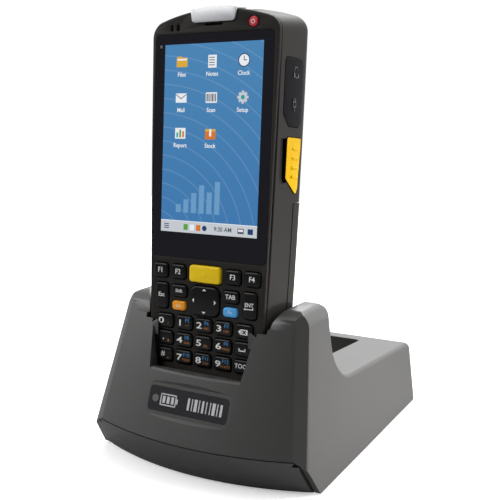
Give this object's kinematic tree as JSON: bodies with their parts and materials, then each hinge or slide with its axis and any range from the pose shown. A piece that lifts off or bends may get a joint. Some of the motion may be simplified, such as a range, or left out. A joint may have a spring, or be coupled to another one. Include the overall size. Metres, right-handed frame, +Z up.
{
  "type": "portable barcode data terminal",
  "caption": "Handheld barcode data terminal with keypad, touch display and side triggers, docked in a charging cradle with a spare battery bay.",
  "frame": {"origin": "on the ground under the middle of the charging cradle", "axes": "+Z up, keypad and display face -Y, +X to the side with the port cover"},
  "size_m": [0.0976, 0.132, 0.1734],
  "materials": {
    "housing_plastic": "fine moulded texture",
    "key_rubber": "satin moulded",
    "yellow_plastic": "satin",
    "orange_plastic": "satin",
    "blue_plastic": "satin",
    "red_plastic": "satin",
    "cover_glass": "polished",
    "display": "lit display",
    "badge_metal": "satin",
    "gloss_black": "gloss",
    "lens_plastic": "frosted",
    "rubber": "matte",
    "steel": "plain",
    "contact_brass": "plated",
    "board": "solder mask",
    "inner_plastic": "plain"
  },
  "bodies": {
    "cradle": {"cradle_housing": "housing_plastic", "cradle_base": "housing_plastic", "rubber_feet": "rubber", "base_screws": "steel", "badge_plate": "gloss_black", "status_lens": "lens_plastic", "charger_board": "board", "dock_contact_block": "inner_plastic", "dock_pins": "contact_brass", "bay_contacts": "contact_brass", "power_inlet": "inner_plastic", "usb_socket": "inner_plastic"},
    "terminal": {"front_housing": "housing_plastic", "rear_housing": "housing_plastic", "display_glass": "cover_glass", "display_panel": "display", "top_badge": "badge_metal", "front_lenses": "gloss_black", "keypad_mat": "rubber", "main_board": "board", "scan_engine": "inner_plastic", "scan_window": "gloss_black", "headset_jack": "inner_plastic", "service_port": "steel", "charging_pads": "contact_brass", "battery_pack": "inner_plastic", "battery_cover": "housing_plastic"},
    "battery_latch": {"battery_latch": "housing_plastic"},
    "key_0": {"key_0": "key_rubber"},
    "key_1": {"key_1": "key_rubber"},
    "key_2": {"key_2": "key_rubber"},
    "key_3": {"key_3": "key_rubber"},
    "key_4": {"key_4": "key_rubber"},
    "key_5": {"key_5": "key_rubber"},
    "key_6": {"key_6": "key_rubber"},
    "key_7": {"key_7": "key_rubber"},
    "key_8": {"key_8": "key_rubber"},
    "key_9": {"key_9": "key_rubber"},
    "key_backspace": {"key_backspace": "key_rubber"},
    "key_blue": {"key_blue": "blue_plastic"},
    "key_dot": {"key_dot": "key_rubber"},
    "key_enter": {"key_enter": "key_rubber"},
    "key_escape": {"key_escape": "key_rubber"},
    "key_f1": {"key_f1": "key_rubber"},
    "key_f2": {"key_f2": "key_rubber"},
    "key_f3": {"key_f3": "key_rubber"},
    "key_f4": {"key_f4": "key_rubber"},
    "key_hash": {"key_hash": "key_rubber"},
    "key_orange": {"key_orange": "orange_plastic"},
    "key_scan": {"key_scan": "yellow_plastic"},
    "key_shift": {"key_shift": "key_rubber"},
    "key_space": {"key_space": "key_rubber"},
    "key_tab": {"key_tab": "key_rubber"},
    "key_tools": {"key_tools": "key_rubber"},
    "left_trigger": {"left_trigger": "yellow_plastic"},
    "nav_pad": {"nav_pad": "key_rubber"},
    "nav_post": {"nav_post": "key_rubber"},
    "port_cover": {"port_cover": "rubber"},
    "power_button": {"power_button": "red_plastic"},
    "right_trigger": {"right_trigger": "yellow_plastic"}
  },
  "joints": [
    {"name": "terminal_lift", "type": "slide", "parent": "cradle", "child": "terminal", "axis": [0, 0.075, 0.9972], "range_m": [0, 0.05]},
    {"name": "power_press", "type": "slide", "parent": "terminal", "child": "power_button", "axis": [0, 0.9972, -0.075], "range_m": [0, 0.0006], "stiffness_N_per_m": 500, "springref_m": -0.0002},
    {"name": "left_trigger_press", "type": "slide", "parent": "terminal", "child": "left_trigger", "axis": [1, 0, 0], "range_m": [0, 0.0008], "stiffness_N_per_m": 700, "springref_m": -0.0002},
    {"name": "right_trigger_press", "type": "slide", "parent": "terminal", "child": "right_trigger", "axis": [-1, 0, 0], "range_m": [0, 0.0008], "stiffness_N_per_m": 700, "springref_m": -0.0002},
    {"name": "nav_tilt_up_down", "type": "hinge", "parent": "terminal", "child": "nav_post", "pos_m": [0, -0.04369, 0.06486], "axis": [1, 0, 0], "range_deg": [-1.6, 1.6], "stiffness_Nm_per_rad": 0.16},
    {"name": "nav_tilt_left_right", "type": "hinge", "parent": "nav_post", "child": "nav_pad", "pos_m": [0, -0.04414, 0.0649], "axis": [0, 0.075, 0.9972], "range_deg": [-1.6, 1.6], "stiffness_Nm_per_rad": 0.16},
    {"name": "port_cover_hinge", "type": "hinge", "parent": "terminal", "child": "port_cover", "pos_m": [0.0274, -0.02821, 0.12938], "axis": [0, 0.9972, -0.075], "range_deg": [0, 95]},
    {"name": "battery_latch_slide", "type": "slide", "parent": "terminal", "child": "battery_latch", "axis": [0, 0.075, 0.9972], "range_m": [0, 0.0025], "stiffness_N_per_m": 250, "springref_m": -0.001},
    {"name": "key_0_press", "type": "slide", "parent": "terminal", "child": "key_0", "axis": [0, 0.9972, -0.075], "range_m": [0, 0.0006], "stiffness_N_per_m": 500, "springref_m": -0.0002},
    {"name": "key_1_press", "type": "slide", "parent": "terminal", "child": "key_1", "axis": [0, 0.9972, -0.075], "range_m": [0, 0.0006], "stiffness_N_per_m": 500, "springref_m": -0.0002},
    {"name": "key_2_press", "type": "slide", "parent": "terminal", "child": "key_2", "axis": [0, 0.9972, -0.075], "range_m": [0, 0.0006], "stiffness_N_per_m": 500, "springref_m": -0.0002},
    {"name": "key_3_press", "type": "slide", "parent": "terminal", "child": "key_3", "axis": [0, 0.9972, -0.075], "range_m": [0, 0.0006], "stiffness_N_per_m": 500, "springref_m": -0.0002},
    {"name": "key_4_press", "type": "slide", "parent": "terminal", "child": "key_4", "axis": [0, 0.9972, -0.075], "range_m": [0, 0.0006], "stiffness_N_per_m": 500, "springref_m": -0.0002},
    {"name": "key_5_press", "type": "slide", "parent": "terminal", "child": "key_5", "axis": [0, 0.9972, -0.075], "range_m": [0, 0.0006], "stiffness_N_per_m": 500, "springref_m": -0.0002},
    {"name": "key_6_press", "type": "slide", "parent": "terminal", "child": "key_6", "axis": [0, 0.9972, -0.075], "range_m": [0, 0.0006], "stiffness_N_per_m": 500, "springref_m": -0.0002},
    {"name": "key_7_press", "type": "slide", "parent": "terminal", "child": "key_7", "axis": [0, 0.9972, -0.075], "range_m": [0, 0.0006], "stiffness_N_per_m": 500, "springref_m": -0.0002},
    {"name": "key_8_press", "type": "slide", "parent": "terminal", "child": "key_8", "axis": [0, 0.9972, -0.075], "range_m": [0, 0.0006], "stiffness_N_per_m": 500, "springref_m": -0.0002},
    {"name": "key_9_press", "type": "slide", "parent": "terminal", "child": "key_9", "axis": [0, 0.9972, -0.075], "range_m": [0, 0.0006], "stiffness_N_per_m": 500, "springref_m": -0.0002},
    {"name": "key_backspace_press", "type": "slide", "parent": "terminal", "child": "key_backspace", "axis": [0, 0.9972, -0.075], "range_m": [0, 0.0006], "stiffness_N_per_m": 500, "springref_m": -0.0002},
    {"name": "key_blue_press", "type": "slide", "parent": "terminal", "child": "key_blue", "axis": [0, 0.9972, -0.075], "range_m": [0, 0.0006], "stiffness_N_per_m": 500, "springref_m": -0.0002},
    {"name": "key_dot_press", "type": "slide", "parent": "terminal", "child": "key_dot", "axis": [0, 0.9972, -0.075], "range_m": [0, 0.0006], "stiffness_N_per_m": 500, "springref_m": -0.0002},
    {"name": "key_enter_press", "type": "slide", "parent": "terminal", "child": "key_enter", "axis": [0, 0.9972, -0.075], "range_m": [0, 0.0006], "stiffness_N_per_m": 500, "springref_m": -0.0002},
    {"name": "key_escape_press", "type": "slide", "parent": "terminal", "child": "key_escape", "axis": [0, 0.9972, -0.075], "range_m": [0, 0.0006], "stiffness_N_per_m": 500, "springref_m": -0.0002},
    {"name": "key_f1_press", "type": "slide", "parent": "terminal", "child": "key_f1", "axis": [0, 0.9972, -0.075], "range_m": [0, 0.0006], "stiffness_N_per_m": 500, "springref_m": -0.0002},
    {"name": "key_f2_press", "type": "slide", "parent": "terminal", "child": "key_f2", "axis": [0, 0.9972, -0.075], "range_m": [0, 0.0006], "stiffness_N_per_m": 500, "springref_m": -0.0002},
    {"name": "key_f3_press", "type": "slide", "parent": "terminal", "child": "key_f3", "axis": [0, 0.9972, -0.075], "range_m": [0, 0.0006], "stiffness_N_per_m": 500, "springref_m": -0.0002},
    {"name": "key_f4_press", "type": "slide", "parent": "terminal", "child": "key_f4", "axis": [0, 0.9972, -0.075], "range_m": [0, 0.0006], "stiffness_N_per_m": 500, "springref_m": -0.0002},
    {"name": "key_hash_press", "type": "slide", "parent": "terminal", "child": "key_hash", "axis": [0, 0.9972, -0.075], "range_m": [0, 0.0006], "stiffness_N_per_m": 500, "springref_m": -0.0002},
    {"name": "key_orange_press", "type": "slide", "parent": "terminal", "child": "key_orange", "axis": [0, 0.9972, -0.075], "range_m": [0, 0.0006], "stiffness_N_per_m": 500, "springref_m": -0.0002},
    {"name": "key_scan_press", "type": "slide", "parent": "terminal", "child": "key_scan", "axis": [0, 0.9972, -0.075], "range_m": [0, 0.0006], "stiffness_N_per_m": 500, "springref_m": -0.0002},
    {"name": "key_shift_press", "type": "slide", "parent": "terminal", "child": "key_shift", "axis": [0, 0.9972, -0.075], "range_m": [0, 0.0006], "stiffness_N_per_m": 500, "springref_m": -0.0002},
    {"name": "key_space_press", "type": "slide", "parent": "terminal", "child": "key_space", "axis": [0, 0.9972, -0.075], "range_m": [0, 0.0006], "stiffness_N_per_m": 500, "springref_m": -0.0002},
    {"name": "key_tab_press", "type": "slide", "parent": "terminal", "child": "key_tab", "axis": [0, 0.9972, -0.075], "range_m": [0, 0.0006], "stiffness_N_per_m": 500, "springref_m": -0.0002},
    {"name": "key_tools_press", "type": "slide", "parent": "terminal", "child": "key_tools", "axis": [0, 0.9972, -0.075], "range_m": [0, 0.0006], "stiffness_N_per_m": 500, "springref_m": -0.0002}
  ]
}
